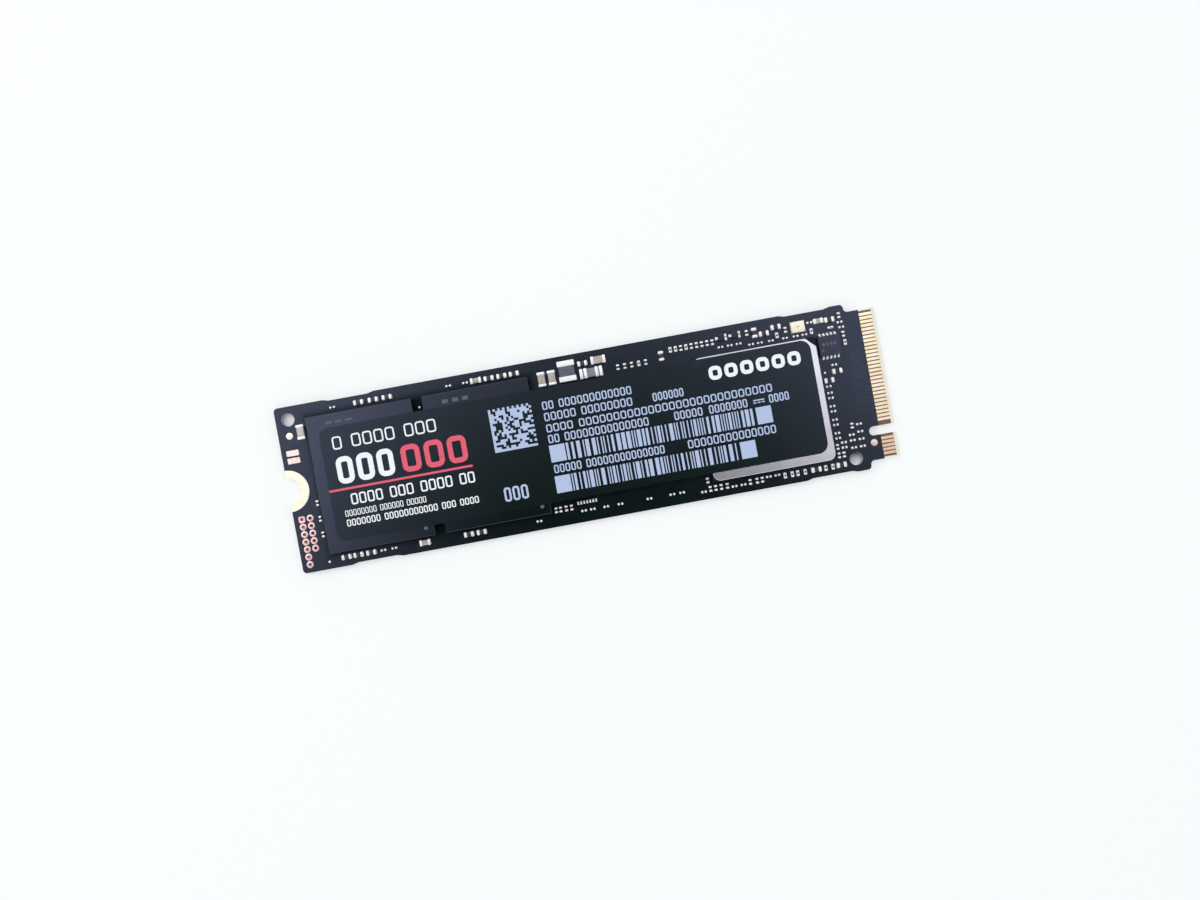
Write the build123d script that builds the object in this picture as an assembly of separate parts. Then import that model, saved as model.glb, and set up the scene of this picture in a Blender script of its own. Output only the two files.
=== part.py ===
from build123d import *
import os

# Solid-state drive on a plug-in card. X runs from the screw notch to the edge connector, Y runs
# across the board and Z up from its underside. The origin is the middle of the underside.

# Circuit board
board_length = 80.0
board_width = 22.0
board_thickness = 0.8
board_corner_radius = 0.5
tooling_hole_diameter = 1.75
tooling_hole_edge_gap = 1.72
tooling_hole_from_notch_end = 1.65
tooling_hole_from_connector_end = 5.8
tab_scar_length = 6.8
tab_scar_depth = 0.2
tab_scar_ramp = 0.8
tab_scar_from_notch_end = 9.95
tab_scar_from_connector_end = 9.2

# Edge connector
tongue_length = 4.0
shoulder_step = 1.075
tongue_corner_radius = 0.3
bevel_length = 0.4
bevel_drop = 0.15
key_slot_width = 1.2
key_slot_depth = 3.5
key_slot_offset = 6.125
finger_width = 0.35
finger_pitch = 0.5
finger_length = 1.65
finger_tip_gap = 0.45
finger_side_margin = 0.4
finger_slot_margin = 0.25

# Copper that shows: solder mask stops short of it, so it lies in a shallow window
copper_thickness = 0.04
notch_radius = 1.75
notch_ring_radius = 2.75
test_ring_diameter = 0.85
test_ring_opening = 0.48
test_ring_pitch = 1.0
test_ring_column_gap = 1.1
test_ring_from_notch_end = 1.07
test_ring_edge_gap = 1.04
test_ring_notch_gap = 0.3
short_column_missing_count = 2
fiducial_diameter = 0.9
fiducial_from_notch_end = 1.5
fiducial_top_gap = 3.9
fiducial_from_connector_end = 3.1
fiducial_bottom_gap = 3.37
bare_pad_length = 1.65
bare_pad_width = 0.75
bare_pad_from_notch_end = 1.48
bare_pad_notch_gap = 1.1
bare_pad_pitch = 1.0
test_dot_side = 0.3
notch_dot_from_notch_end = 3.65
notch_dot_bottom_gap = 0.95
flash_dot_top_gap = 3.25
supervisor_dot_from_connector_end = 7.85
supervisor_dot_top_gap = 8.45

# Packages, standing on solder balls
solder_gap = 0.2
ball_diameter = 0.4
ball_edge_gap = 1.0
flash_width = 14.0
flash_height = 1.15
flash_from_notch_end = 4.25
flash_spacing = 1.35
flash_edge_strip = 2.0
flash_ball_pitch = 1.0
memory_width = 7.5
memory_length = 13.3
memory_height = 1.0
memory_top_strip = 3.95
memory_ball_pitch = 0.8
controller_from_connector_end = 8.6
controller_top_strip = 3.55
controller_bottom_strip = 2.1
substrate_thickness = 0.35
lid_wall = 0.3
lid_setback = 0.1
lid_corner_radius = 0.9
lid_cut_corner = 1.25
controller_ball_pitch = 1.0
die_side = 8.0
die_lid_gap = 0.05
package_edge_chamfer = 0.06

# Label film, laid on the packages
label_top_strip = 3.8
label_bottom_strip = 3.3
label_thickness = 0.08
label_corner_radius = 1.3
label_flash_inset = 1.45
label_controller_inset = 0.9

# Chip parts: length and width over the soldered ends, height, and length of one end
tiny_length = 0.78
tiny_width = 0.42
tiny_height = 0.33
tiny_end = 0.28
small_length = 1.35
small_width = 0.72
small_height = 0.5
small_end = 0.44
brown_length = 1.95
brown_width = 1.05
brown_height = 0.8
brown_end = 0.4
brown_small_length = 1.45
brown_small_width = 0.8
brown_small_height = 0.5
brown_small_end = 0.35
chip_body_inset = 0.05
chip_lift = 0.03
brown_end_wall = 0.06
pair_column_bottom_gap = 4.79
pair_column_top_gap = 10.8
pair_pitch = 1.79
pair_gap = 0.68
row_pitch = 0.93
bank_pitch = 0.7

# Power inductors
large_inductor_length = 2.78
large_inductor_width = 2.3
large_inductor_end = 0.75
flat_inductor_length = 3.05
flat_inductor_width = 1.4
flat_inductor_end = 1.0
inductor_height = 1.0
inductor_terminal_wall = 0.1

# Legged circuits
lead_thickness = 0.12
lead_shoulder = 0.12
lead_rake = 0.06
transistor_length = 0.85
transistor_width = 0.8
transistor_height = 0.5
transistor_lead_reach = 0.35
transistor_lead_width = 0.36
transistor_lead_spread = 0.84
supervisor_length = 3.0
supervisor_width = 2.65
supervisor_height = 0.75
supervisor_lead_count = 5
supervisor_lead_pitch = 0.5
supervisor_lead_width = 0.27
supervisor_lead_reach = 0.38
regulator_length = 3.0
regulator_width = 1.5
regulator_height = 0.65
regulator_lead_count = 7
regulator_lead_pitch = 0.4
regulator_lead_width = 0.22
regulator_lead_reach = 0.42

# Timing crystal
crystal_length = 1.85
crystal_width = 1.45
crystal_base_height = 0.3
crystal_lid_height = 0.22
crystal_lid_setback = 0.1
crystal_corner_cut = 0.15

# Datums
notch_end = -board_length / 2
connector_end = board_length / 2
top_edge = board_width / 2
bottom_edge = -board_width / 2
shoulder_x = connector_end - tongue_length
tongue_width = board_width - 2 * shoulder_step
board_top = board_thickness
package_seat = board_top + solder_gap
flash_length = board_width - 2 * flash_edge_strip
flash_near_left = notch_end + flash_from_notch_end
flash_far_left = flash_near_left + flash_width + flash_spacing
flash_right = flash_far_left + flash_width
controller_side = board_width - controller_top_strip - controller_bottom_strip
controller_right = connector_end - controller_from_connector_end
controller_left = controller_right - controller_side
controller_y = (controller_bottom_strip - controller_top_strip) / 2
package_top = package_seat + flash_height
lid_height = flash_height - substrate_thickness


def from_notch(*distances):
    return [notch_end + distance for distance in distances]


def from_connector(*distances):
    return [connector_end - distance for distance in distances]


def from_flash(*distances):
    return [flash_right + distance for distance in distances]


def lying(xs, y):
    """Places along X for parts whose long side runs along X."""
    return [Location((x, y, board_top)) for x in xs]


def upright(xs, y):
    """Places along X for parts whose long side runs along Y."""
    return [Location((x, y, board_top), (0, 0, 90)) for x in xs]


def centred_row(count, pitch):
    return [(index - (count - 1) / 2) * pitch for index in range(count)]


def save(name, *solids):
    """Write one named piece, or a group of like pieces, as a STEP file."""
    shape = solids[0] if len(solids) == 1 else Compound(children=list(solids))
    export_step(shape, f"parts/{name}.step")


# Circuit board: outline, screw notch, key slot, holes and bevelled tongue

def tab_scar(x, side):
    """Shallow recess left in a long edge where the card was broken out of its panel."""
    edge = side * board_width / 2
    floor = edge - side * tab_scar_depth
    outer = tab_scar_length / 2
    inner = outer - tab_scar_ramp
    corners = [(x - outer, edge), (x - inner, floor), (x + inner, floor), (x + outer, edge)]
    return make_face(Polyline(*corners, close=True))


def board_outline():
    main_length = board_length - tongue_length
    main = Pos(notch_end + main_length / 2) * Rectangle(main_length, board_width)
    tongue = Pos(shoulder_x + tongue_length / 2) * Rectangle(tongue_length, tongue_width)
    outline = main + tongue
    others = [vertex for group in outline.vertices().group_by(Axis.X)[:-1] for vertex in group]
    outline = fillet(others, board_corner_radius)
    tips = outline.vertices().group_by(Axis.X)[-1]
    outline = fillet(tips, tongue_corner_radius)
    slot_length = 2 * key_slot_depth
    outline -= Pos(connector_end, -key_slot_offset) * SlotOverall(slot_length, key_slot_width)
    scar_places = from_notch(tab_scar_from_notch_end) + from_connector(tab_scar_from_connector_end)
    for x in scar_places:
        for side in (1, -1):
            outline -= tab_scar(x, side)
    return outline


def tongue_bevel(z_face, inward):
    """Wedge taken off one face at the tongue's tip."""
    heel = (connector_end - bevel_length, z_face)
    toe = (connector_end, z_face + inward * bevel_drop)
    corner = (connector_end, z_face)
    wedge = make_face(Polyline(heel, corner, toe, close=True))
    return extrude(Plane.XZ * wedge, board_width / 2, both=True)


def notch_eyelet():
    """Plated lining of the screw notch with a half ring let into each face."""
    ring = Cylinder(notch_ring_radius, copper_thickness, align=(Align.CENTER, Align.CENTER, Align.MIN))
    barrel = Cylinder(
        notch_radius + copper_thickness, board_thickness, align=(Align.CENTER, Align.CENTER, Align.MIN)
    )
    eyelet = barrel + ring + Pos(Z=board_thickness - copper_thickness) * ring
    kept_half = Box(
        notch_ring_radius, 2 * notch_ring_radius, board_thickness, align=(Align.MIN, Align.CENTER, Align.MIN)
    )
    return Pos(notch_end) * (eyelet & kept_half)


def test_ring_places():
    """Two columns up from the lower edge, stopping clear of the notch's ring."""
    highest = -(notch_ring_radius + test_ring_diameter / 2 + test_ring_notch_gap)
    lowest = bottom_edge + test_ring_edge_gap
    rows = int((highest - lowest) / test_ring_pitch) + 1
    outer_x = notch_end + test_ring_from_notch_end
    inner_x = outer_x + test_ring_column_gap
    ys = [lowest + row * test_ring_pitch for row in range(rows)]
    outer = [(outer_x, y) for y in ys]
    inner = [(inner_x, y) for y in ys[short_column_missing_count:]]
    return outer, inner


def make_board():
    board = extrude(board_outline(), board_thickness)
    board -= tongue_bevel(board_thickness, -1)
    board -= tongue_bevel(0, 1)
    window_length = finger_length + finger_tip_gap
    window = Box(
        window_length, board_width, copper_thickness, align=(Align.MAX, Align.CENTER, Align.MIN)
    )
    board -= Pos(connector_end, 0, board_thickness - copper_thickness) * window
    board -= Pos(connector_end) * window
    notch_bore = Cylinder(
        notch_radius + copper_thickness, board_thickness, align=(Align.CENTER, Align.CENTER, Align.MIN)
    )
    board -= Pos(notch_end) * notch_bore
    board -= notch_eyelet()
    hole = Cylinder(
        tooling_hole_diameter / 2, board_thickness, align=(Align.CENTER, Align.CENTER, Align.MIN)
    )
    board -= Pos(notch_end + tooling_hole_from_notch_end, top_edge - tooling_hole_edge_gap) * hole
    lower_hole_x = connector_end - tooling_hole_from_connector_end
    board -= Pos(lower_hole_x, bottom_edge + tooling_hole_edge_gap) * hole
    return board


# Gold: fingers, eyelet and test points

def finger_places(shift):
    """Y of each finger, on a lattice shifted from the key slot, clear of the slot and the sides."""
    reach = tongue_width / 2 - finger_side_margin - finger_width / 2
    keep_out = key_slot_width / 2 + finger_slot_margin + finger_width / 2
    steps = int(2 * tongue_width / finger_pitch)
    lattice = [-key_slot_offset + (step + shift) * finger_pitch for step in range(-steps, steps)]
    return [y for y in lattice if abs(y) <= reach and abs(y + key_slot_offset) >= keep_out]


def fingers(shift, floor):
    finger = Box(
        finger_length, finger_width, copper_thickness, align=(Align.MAX, Align.CENTER, Align.MIN)
    )
    x = connector_end - finger_tip_gap
    return [Pos(x, y, floor) * finger for y in finger_places(shift)]


def make_notch_plating():
    opening = Cylinder(notch_radius, board_thickness, align=(Align.CENTER, Align.CENTER, Align.MIN))
    return notch_eyelet() - Pos(notch_end) * opening


def flat_pad(face, x, y):
    """Thin copper pad on the upper face."""
    return extrude(Pos(x, y, board_top) * face, copper_thickness)


def make_test_rings():
    """Eight-sided ring pads, with a square one as the first of its column."""
    opening = RegularPolygon(test_ring_opening / 2, 8)
    ring = RegularPolygon(test_ring_diameter / 2, 8, major_radius=False) - opening
    square = Rectangle(test_ring_diameter, test_ring_diameter) - opening
    outer, inner = test_ring_places()
    first = flat_pad(square, *outer[-1])
    return [first] + [flat_pad(ring, x, y) for x, y in outer[:-1] + inner]


def make_fiducials():
    dot = RegularPolygon(fiducial_diameter / 2, 12)
    upper = flat_pad(dot, notch_end + fiducial_from_notch_end, top_edge - fiducial_top_gap)
    lower = flat_pad(dot, connector_end - fiducial_from_connector_end, bottom_edge + fiducial_bottom_gap)
    return [upper, lower]


def make_bare_pads():
    strip = Rectangle(bare_pad_length, bare_pad_width)
    x = notch_end + bare_pad_from_notch_end
    first_y = notch_ring_radius + bare_pad_notch_gap
    strips = [flat_pad(strip, x, first_y + row * bare_pad_pitch) for row in range(2)]
    dot = Rectangle(test_dot_side, test_dot_side)
    between_flash = flash_far_left - flash_spacing / 2
    dots = [
        flat_pad(dot, notch_end + notch_dot_from_notch_end, bottom_edge + notch_dot_bottom_gap),
        flat_pad(dot, between_flash, top_edge - flash_dot_top_gap),
        flat_pad(dot, connector_end - supervisor_dot_from_connector_end, top_edge - supervisor_dot_top_gap),
    ]
    return strips + dots


# Packages and their solder balls

def package(width, length, height):
    """Moulded package sawn square, with its upper rim broken."""
    block = Box(width, length, height, align=(Align.CENTER, Align.CENTER, Align.MIN))
    return chamfer(block.faces().sort_by(Axis.Z)[-1].edges(), package_edge_chamfer)


def solder_balls(x, y, width, length, pitch):
    """The two rows of balls nearest the board's long edges, squeezed to short six-sided barrels."""
    ball = extrude(RegularPolygon(ball_diameter / 2, 6), solder_gap)
    count = int((width - 2 * ball_edge_gap) / pitch) + 1
    row_y = length / 2 - ball_edge_gap
    rows = [(dx, dy) for dy in (row_y, -row_y) for dx in centred_row(count, pitch)]
    return [Pos(x + dx, y + dy, board_top) * ball for dx, dy in rows]


def make_lid():
    """Nickel lid: a shallow cup, open below, with one corner cut off as the mark of pin one."""
    side = controller_side - 2 * lid_setback
    plan = Rectangle(side, side)
    marked = plan.vertices().sort_by(lambda vertex: vertex.X + vertex.Y)[-1]
    plan = chamfer(marked, lid_cut_corner)
    plain = plan.vertices().sort_by(lambda vertex: vertex.X + vertex.Y)[:3]
    plan = fillet(plain, lid_corner_radius)
    lid = extrude(plan, lid_height)
    lid = chamfer(lid.faces().sort_by(Axis.Z)[-1].edges(), package_edge_chamfer)
    hollow = extrude(offset(plan, -lid_wall), lid_height - lid_wall)
    return lid - hollow


# Chip parts

def chip(length, width, height, end):
    """Body and soldered ends of one chip part, standing on the XY plane with its length along X."""
    body = Box(
        length - 2 * end, width - 2 * chip_body_inset, height - chip_body_inset - chip_lift,
        align=(Align.CENTER, Align.CENTER, Align.MIN),
    )
    cap = Box(end, width, height, align=(Align.MAX, Align.CENTER, Align.MIN))
    return Pos(Z=chip_lift) * body, [Pos(length / 2) * cap, Rot(Z=180) * Pos(length / 2) * cap]


def capped_chip(length, width, height, end, wall):
    """Larger chip part whose ends are plated cups over the full-length body."""
    body = Pos(Z=wall) * Box(
        length - 2 * wall, width - 2 * wall, height - 2 * wall,
        align=(Align.CENTER, Align.CENTER, Align.MIN),
    )
    cap = Pos(length / 2) * Box(end, width, height, align=(Align.MAX, Align.CENTER, Align.MIN))
    cup = cap - body
    return body, [cup, Rot(Z=180) * cup]


def spread(places, part):
    """Copies of a chip part at its places: all bodies, then all ends."""
    body, ends = part
    bodies = [place * body for place in places]
    caps = [place * end for place in places for end in ends]
    return bodies, caps


# Legged circuits

def gull_wing(reach, width, height):
    """Bent lead that leaves a body at half its height and stands on the board, pointing along X."""
    low = height / 2 - lead_thickness
    knee = lead_shoulder
    heel = knee + lead_rake
    profile = Polyline(
        (0, low), (0, low + lead_thickness), (knee + lead_thickness / 2, low + lead_thickness),
        (heel + lead_thickness / 2, lead_thickness), (reach, lead_thickness), (reach, 0),
        (heel - lead_thickness / 2, 0), (knee - lead_thickness / 2, low), close=True,
    )
    return extrude(Plane.XZ * make_face(profile), width / 2, both=True)


def moulded_body(length, width, height):
    block = Box(length, width, height - chip_lift, align=(Align.CENTER, Align.CENTER, Align.MIN))
    block = chamfer(block.faces().sort_by(Axis.Z)[-1].edges(), package_edge_chamfer)
    return Pos(Z=chip_lift) * block


def two_row_leads(width, height, count, pitch, lead_width, reach):
    """Leads along both long sides of a moulded body."""
    lead = gull_wing(reach, lead_width, height)
    leads = []
    for turn in (90, -90):
        for x in centred_row(count, pitch):
            leads.append(Rot(Z=turn) * Pos(width / 2, x) * lead)
    return leads


def transistor_leads():
    """One lead on the left and two on the right."""
    lead = gull_wing(transistor_lead_reach, transistor_lead_width, transistor_height)
    start = transistor_length / 2
    half_spread = (transistor_lead_spread - transistor_lead_width) / 2
    right = [Pos(start, side * half_spread) * lead for side in (1, -1)]
    return [Rot(Z=180) * Pos(start) * lead] + right


# Places of the chip parts, along the strips that the packages leave free

def paired_column(x):
    """Pairs of lying parts up the strip beside the controller, as many as fit below the single."""
    first = bottom_edge + pair_column_bottom_gap
    limit = top_edge - pair_column_top_gap
    pairs = int((limit - first - pair_gap) / pair_pitch) + 1
    ys = [first + pair * pair_pitch + step * pair_gap for pair in range(pairs) for step in range(2)]
    return [Location((x, y, board_top)) for y in ys]


def tiny_chip_places():
    places = lying(from_notch(7.75, 23.2, 25.45), top_edge - 1.2)
    places += lying(from_connector(20.77, 19.55, 18.36), top_edge - 2.66)
    places += lying(from_connector(16.76, 15.59, 14.12, 12.24, 10.83, 9.65), top_edge - 3.04)
    places += lying(from_connector(8.75), top_edge - 1.6)
    places += lying(from_connector(4.82), top_edge - 2.24)
    places += lying(from_connector(4.72), top_edge - 2.92)
    places += lying(from_connector(6.14), top_edge - 2.71)
    places += lying(from_connector(6.51), top_edge - 7.62)
    places += lying(from_connector(7.73), top_edge - 10.3)
    places += paired_column(connector_end - 7.73)
    places += lying(from_connector(7.09), bottom_edge + 4.12)
    places += lying(from_connector(7.12), bottom_edge + 3.46)
    places += lying(from_connector(4.72), bottom_edge + 6.15)
    places += lying(from_connector(4.72), bottom_edge + 5.15)
    places += lying(from_connector(5.89), bottom_edge + 4.92)
    places += lying(from_connector(5.89, 4.72), bottom_edge + 4.18)
    places += lying(from_connector(5.89, 4.72), bottom_edge + 3.21)
    places += lying(from_notch(10.93, 12.38, 31.73), bottom_edge + 1.21)
    places += lying(from_flash(4.14, 5.31, 7.1, 9.0), bottom_edge + 1.5)
    places += lying(from_connector(33.53, 30.47, 29.18), bottom_edge + 1.5)
    places += lying(from_connector(26.33, 22.25, 21.05), bottom_edge + 1.06)
    places += lying(from_connector(17.6, 16.46), bottom_edge + 1.49)
    places += upright(from_flash(*[11.9 + row_pitch * index for index in range(5)]), top_edge - 2.82)
    places += upright(from_connector(*[27.33 - bank_pitch * index for index in range(9)]), top_edge - 1.83)
    places += upright(from_connector(17.09), top_edge - 1.45)
    places += upright(from_connector(13.22), top_edge - 2.48)
    places += upright(from_connector(12.02), top_edge - 1.97)
    places += upright(from_connector(4.79), top_edge - 1.34)
    places += upright(from_connector(8.68), top_edge - 2.77)
    places += upright(from_connector(4.64), top_edge - 3.85)
    places += upright(from_connector(4.59), top_edge - 4.96)
    places += upright(from_connector(8.01), bottom_edge + 3.68)
    places += upright(from_connector(8.01, 7.34), bottom_edge + 2.55)
    places += upright(from_connector(5.64), bottom_edge + 6.1)
    places += upright(from_flash(0.54, 1.15, 1.9, 2.61), bottom_edge + 2.21)
    places += upright(from_connector(25.59), bottom_edge + 2.46)
    places += upright(from_connector(25.42, 24.71, 23.97, 23.17), bottom_edge + 1.3)
    places += upright(from_connector(20.12, 19.2, 18.5), bottom_edge + 1.25)
    places += upright(from_connector(15.46, 14.49, 13.77, 12.77, 10.03, 9.08), bottom_edge + 1.25)
    for y in (-2.18, -4.27, -6.35):
        places += upright(from_notch(3.55), y)
    return places


def small_chip_places():
    places = lying(from_notch(11.25, 13.2, 15.05, 28.6, 30.3, 31.95), top_edge - 1.2)
    places += lying(from_flash(7.4), top_edge - 1.49)
    places += lying(from_connector(14.89), top_edge - 1.94)
    places += lying(from_connector(13.22), top_edge - 1.39)
    places += lying(from_connector(7.6), top_edge - 1.6)
    places += lying(from_connector(6.14), top_edge - 1.69)
    places += lying(from_connector(6.29), top_edge - 8.49)
    places += lying(from_connector(7.55), top_edge - 9.52)
    places += lying(from_notch(6.05, 7.64, 9.34, 22.35, 24.05), bottom_edge + 1.21)
    places += lying(from_connector(11.3, 7.93), bottom_edge + 1.29)
    places += upright(from_connector(28.66), top_edge - 2.41)
    places += upright(from_connector(16.11), top_edge - 1.62)
    return places


os.makedirs("parts", exist_ok=True)

save("circuit_board", make_board())
save("gold_fingers_top", *fingers(-0.25, board_thickness - copper_thickness))
save("gold_fingers_bottom", *fingers(0.25, 0))
save("board_notch_plating", make_notch_plating())
save("test_rings", *make_test_rings())
save("fiducials", *make_fiducials())
save("bare_pads", *make_bare_pads())

flash = package(flash_width, flash_length, flash_height)
flash_near_x = flash_near_left + flash_width / 2
flash_far_x = flash_far_left + flash_width / 2
save("flash_package_near", Pos(flash_near_x, 0, package_seat) * flash)
save("flash_package_far", Pos(flash_far_x, 0, package_seat) * flash)
save("flash_balls_near", *solder_balls(flash_near_x, 0, flash_width, flash_length, flash_ball_pitch))
save("flash_balls_far", *solder_balls(flash_far_x, 0, flash_width, flash_length, flash_ball_pitch))

memory_x = (flash_right + controller_left) / 2
memory_y = top_edge - memory_top_strip - memory_length / 2
memory = package(memory_width, memory_length, memory_height)
save("memory_package", Pos(memory_x, memory_y, package_seat) * memory)
save("memory_balls", *solder_balls(memory_x, memory_y, memory_width, memory_length, memory_ball_pitch))

controller_x = (controller_left + controller_right) / 2
substrate = Box(
    controller_side, controller_side, substrate_thickness, align=(Align.CENTER, Align.CENTER, Align.MIN)
)
save("controller_substrate", Pos(controller_x, controller_y, package_seat) * substrate)
die_height = lid_height - lid_wall - die_lid_gap
die = Box(die_side, die_side, die_height, align=(Align.CENTER, Align.CENTER, Align.MIN))
save("controller_die", Pos(controller_x, controller_y, package_seat + substrate_thickness) * die)
save("controller_lid", Pos(controller_x, controller_y, package_seat + substrate_thickness) * make_lid())
save(
    "controller_balls",
    *solder_balls(controller_x, controller_y, controller_side, controller_side, controller_ball_pitch),
)

label_left = flash_near_left + label_flash_inset
label_right = controller_right - label_controller_inset
label_width = board_width - label_top_strip - label_bottom_strip
label_y = (label_bottom_strip - label_top_strip) / 2
label_plan = RectangleRounded(label_right - label_left, label_width, label_corner_radius)
label_film = extrude(label_plan, label_thickness)
save("label", Pos((label_left + label_right) / 2, label_y, package_top) * label_film)

tiny = chip(tiny_length, tiny_width, tiny_height, tiny_end)
bodies, ends = spread(tiny_chip_places(), tiny)
save("tiny_chip_bodies", *bodies)
save("tiny_chip_ends", *ends)

small = chip(small_length, small_width, small_height, small_end)
bodies, ends = spread(small_chip_places(), small)
save("small_chip_bodies", *bodies)
save("small_chip_ends", *ends)

brown = capped_chip(brown_length, brown_width, brown_height, brown_end, brown_end_wall)
brown_places = upright(from_notch(3.22), top_edge - 3.65)
brown_places += upright(from_flash(1.79, 3.15), top_edge - 2.63)
brown_places += lying(from_flash(9.51), top_edge - 1.39)
bodies, ends = spread(brown_places, brown)
brown_small = capped_chip(
    brown_small_length, brown_small_width, brown_small_height, brown_small_end, brown_end_wall
)
brown_small_places = lying(from_notch(26.87), top_edge - 1.17) + lying(from_notch(16.5), bottom_edge + 1.18)
small_bodies, small_ends = spread(brown_small_places, brown_small)
save("capacitor_bodies", *bodies, *small_bodies)
save("capacitor_ends", *ends, *small_ends)

large_inductor = capped_chip(
    large_inductor_length, large_inductor_width, inductor_height, large_inductor_end, inductor_terminal_wall
)
flat_inductor = capped_chip(
    flat_inductor_length, flat_inductor_width, inductor_height, flat_inductor_end, inductor_terminal_wall
)
large_cores, large_terminals = spread(upright(from_flash(5.22), top_edge - 2.15), large_inductor)
flat_cores, flat_terminals = spread(lying(from_flash(8.33), top_edge - 2.9), flat_inductor)
save("inductor_cores", *large_cores, *flat_cores)
save("inductor_terminals", *large_terminals, *flat_terminals)

transistor_places = lying(from_connector(20.5), top_edge - 1.45) + lying(from_connector(18.68), top_edge - 1.41)
transistor = moulded_body(transistor_length, transistor_width, transistor_height), transistor_leads()
bodies, leads = spread(transistor_places, transistor)
save("transistor_bodies", *bodies)
save("transistor_leads", *leads)

supervisor_place = lying(from_connector(6.71), top_edge - 5.03)
supervisor = (
    moulded_body(supervisor_length, supervisor_width, supervisor_height),
    two_row_leads(
        supervisor_width, supervisor_height, supervisor_lead_count,
        supervisor_lead_pitch, supervisor_lead_width, supervisor_lead_reach,
    ),
)
bodies, leads = spread(supervisor_place, supervisor)
save("supervisor_body", *bodies)
save("supervisor_leads", *leads)

regulator_place = lying(from_flash(4.76), bottom_edge + 3.55)
regulator = (
    moulded_body(regulator_length, regulator_width, regulator_height),
    two_row_leads(
        regulator_width, regulator_height, regulator_lead_count,
        regulator_lead_pitch, regulator_lead_width, regulator_lead_reach,
    ),
)
bodies, leads = spread(regulator_place, regulator)
save("regulator_body", *bodies)
save("regulator_leads", *leads)

crystal_x = connector_end - 10.36
crystal_y = top_edge - 1.87
crystal_base = Box(
    crystal_length, crystal_width, crystal_base_height, align=(Align.CENTER, Align.CENTER, Align.MIN)
)
crystal_lid_plan = Rectangle(crystal_length - 2 * crystal_lid_setback, crystal_width - 2 * crystal_lid_setback)
crystal_lid = extrude(chamfer(crystal_lid_plan.vertices(), crystal_corner_cut), crystal_lid_height)
save("crystal_base", Pos(crystal_x, crystal_y, board_top) * crystal_base)
save("crystal_lid", Pos(crystal_x, crystal_y, board_top + crystal_base_height) * crystal_lid)
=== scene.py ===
import math
import random

import bmesh
import bpy
from mathutils import Matrix, Vector


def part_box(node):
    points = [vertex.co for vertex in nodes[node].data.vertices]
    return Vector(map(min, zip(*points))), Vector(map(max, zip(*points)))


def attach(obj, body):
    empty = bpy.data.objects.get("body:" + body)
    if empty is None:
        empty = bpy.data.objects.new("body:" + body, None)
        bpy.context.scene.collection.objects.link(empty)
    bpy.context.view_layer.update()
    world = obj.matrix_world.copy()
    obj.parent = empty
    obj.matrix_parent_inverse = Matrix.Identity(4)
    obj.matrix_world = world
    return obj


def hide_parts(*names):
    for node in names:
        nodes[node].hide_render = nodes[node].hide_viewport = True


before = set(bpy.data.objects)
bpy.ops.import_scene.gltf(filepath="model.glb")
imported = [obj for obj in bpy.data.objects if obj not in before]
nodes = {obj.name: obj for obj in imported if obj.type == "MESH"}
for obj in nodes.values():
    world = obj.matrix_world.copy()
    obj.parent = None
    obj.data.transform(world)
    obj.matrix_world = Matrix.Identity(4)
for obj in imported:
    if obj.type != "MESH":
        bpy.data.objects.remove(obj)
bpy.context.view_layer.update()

# Circuit board: glass cloth and resin, routed out of a panel and coated with black solder mask on
# both faces. Close to the flash packages the mask's reflection is turned down as painted shade. It
# ends short of the contacts, where brown laminate shows between the fingers, and the ground bevel shows the
# pale core.

MM = 0.001


class Wire:
    """An output socket of a material. Sums and products of wires add Math nodes."""

    def __init__(self, tree, socket):
        self.tree = tree
        self.socket = socket

    def node(self, kind, settings=None, sockets=None, output=0):
        """Any other node: its settings first, then the values or links of its sockets."""
        made = self.tree.nodes.new(kind)
        for name, value in (settings or {}).items():
            setattr(made, name, value)
        for name, value in (sockets or {}).items():
            if isinstance(value, Wire):
                self.tree.links.new(value.socket, made.inputs[name])
            else:
                made.inputs[name].default_value = value
        return Wire(self.tree, made.outputs[output])

    def math(self, operation, first, second=0.0):
        """A Math node."""
        return self.node("ShaderNodeMath", {"operation": operation}, {0: first, 1: second})

    def __add__(self, other):
        return self.math("ADD", self, other)

    __radd__ = __add__

    def __sub__(self, other):
        return self.math("SUBTRACT", self, other)

    def __rsub__(self, other):
        return self.math("SUBTRACT", other, self)

    def __mul__(self, other):
        return self.math("MULTIPLY", self, other)

    __rmul__ = __mul__

    def __truediv__(self, other):
        return self.math("DIVIDE", self, other)

    def __rtruediv__(self, other):
        return self.math("DIVIDE", other, self)

    def __abs__(self):
        return self.math("ABSOLUTE", self)

    def at_least(self, other):
        """The larger of two values."""
        return self.math("MAXIMUM", self, other)

    def axis(self, number):
        """The X, Y or Z of a vector, numbered from 0."""
        return self.node("ShaderNodeSeparateXYZ", {}, {"Vector": self}, number)

    def step(self, low, high):
        """0 below low, 1 above high, smooth between."""
        return self.node(
            "ShaderNodeMapRange", {"interpolation_type": "SMOOTHSTEP"},
            {"Value": self, "From Min": low, "From Max": high},
        )

    def mix(self, first, second):
        """The first colour where this wire is 0, the second where it is 1."""
        return self.node("ShaderNodeMix", {"data_type": "RGBA"}, {0: self, 6: first, 7: second}, 2)

    def noise(self, size, detail=2.0, stretch=(1, 1, 1)):
        """Grain of that size in millimetres; a stretch under 1 draws it out along that axis."""
        drawn = self.node(
            "ShaderNodeVectorMath", {"operation": "MULTIPLY"}, {0: self, 1: stretch}
        )
        return self.node(
            "ShaderNodeTexNoise", {}, {"Vector": drawn, "Scale": 1 / size, "Detail": detail}
        )

    def feed(self, shader, socket):
        """Links this wire to a socket of a shader."""
        self.tree.links.new(self.socket, shader.inputs[socket])


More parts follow.
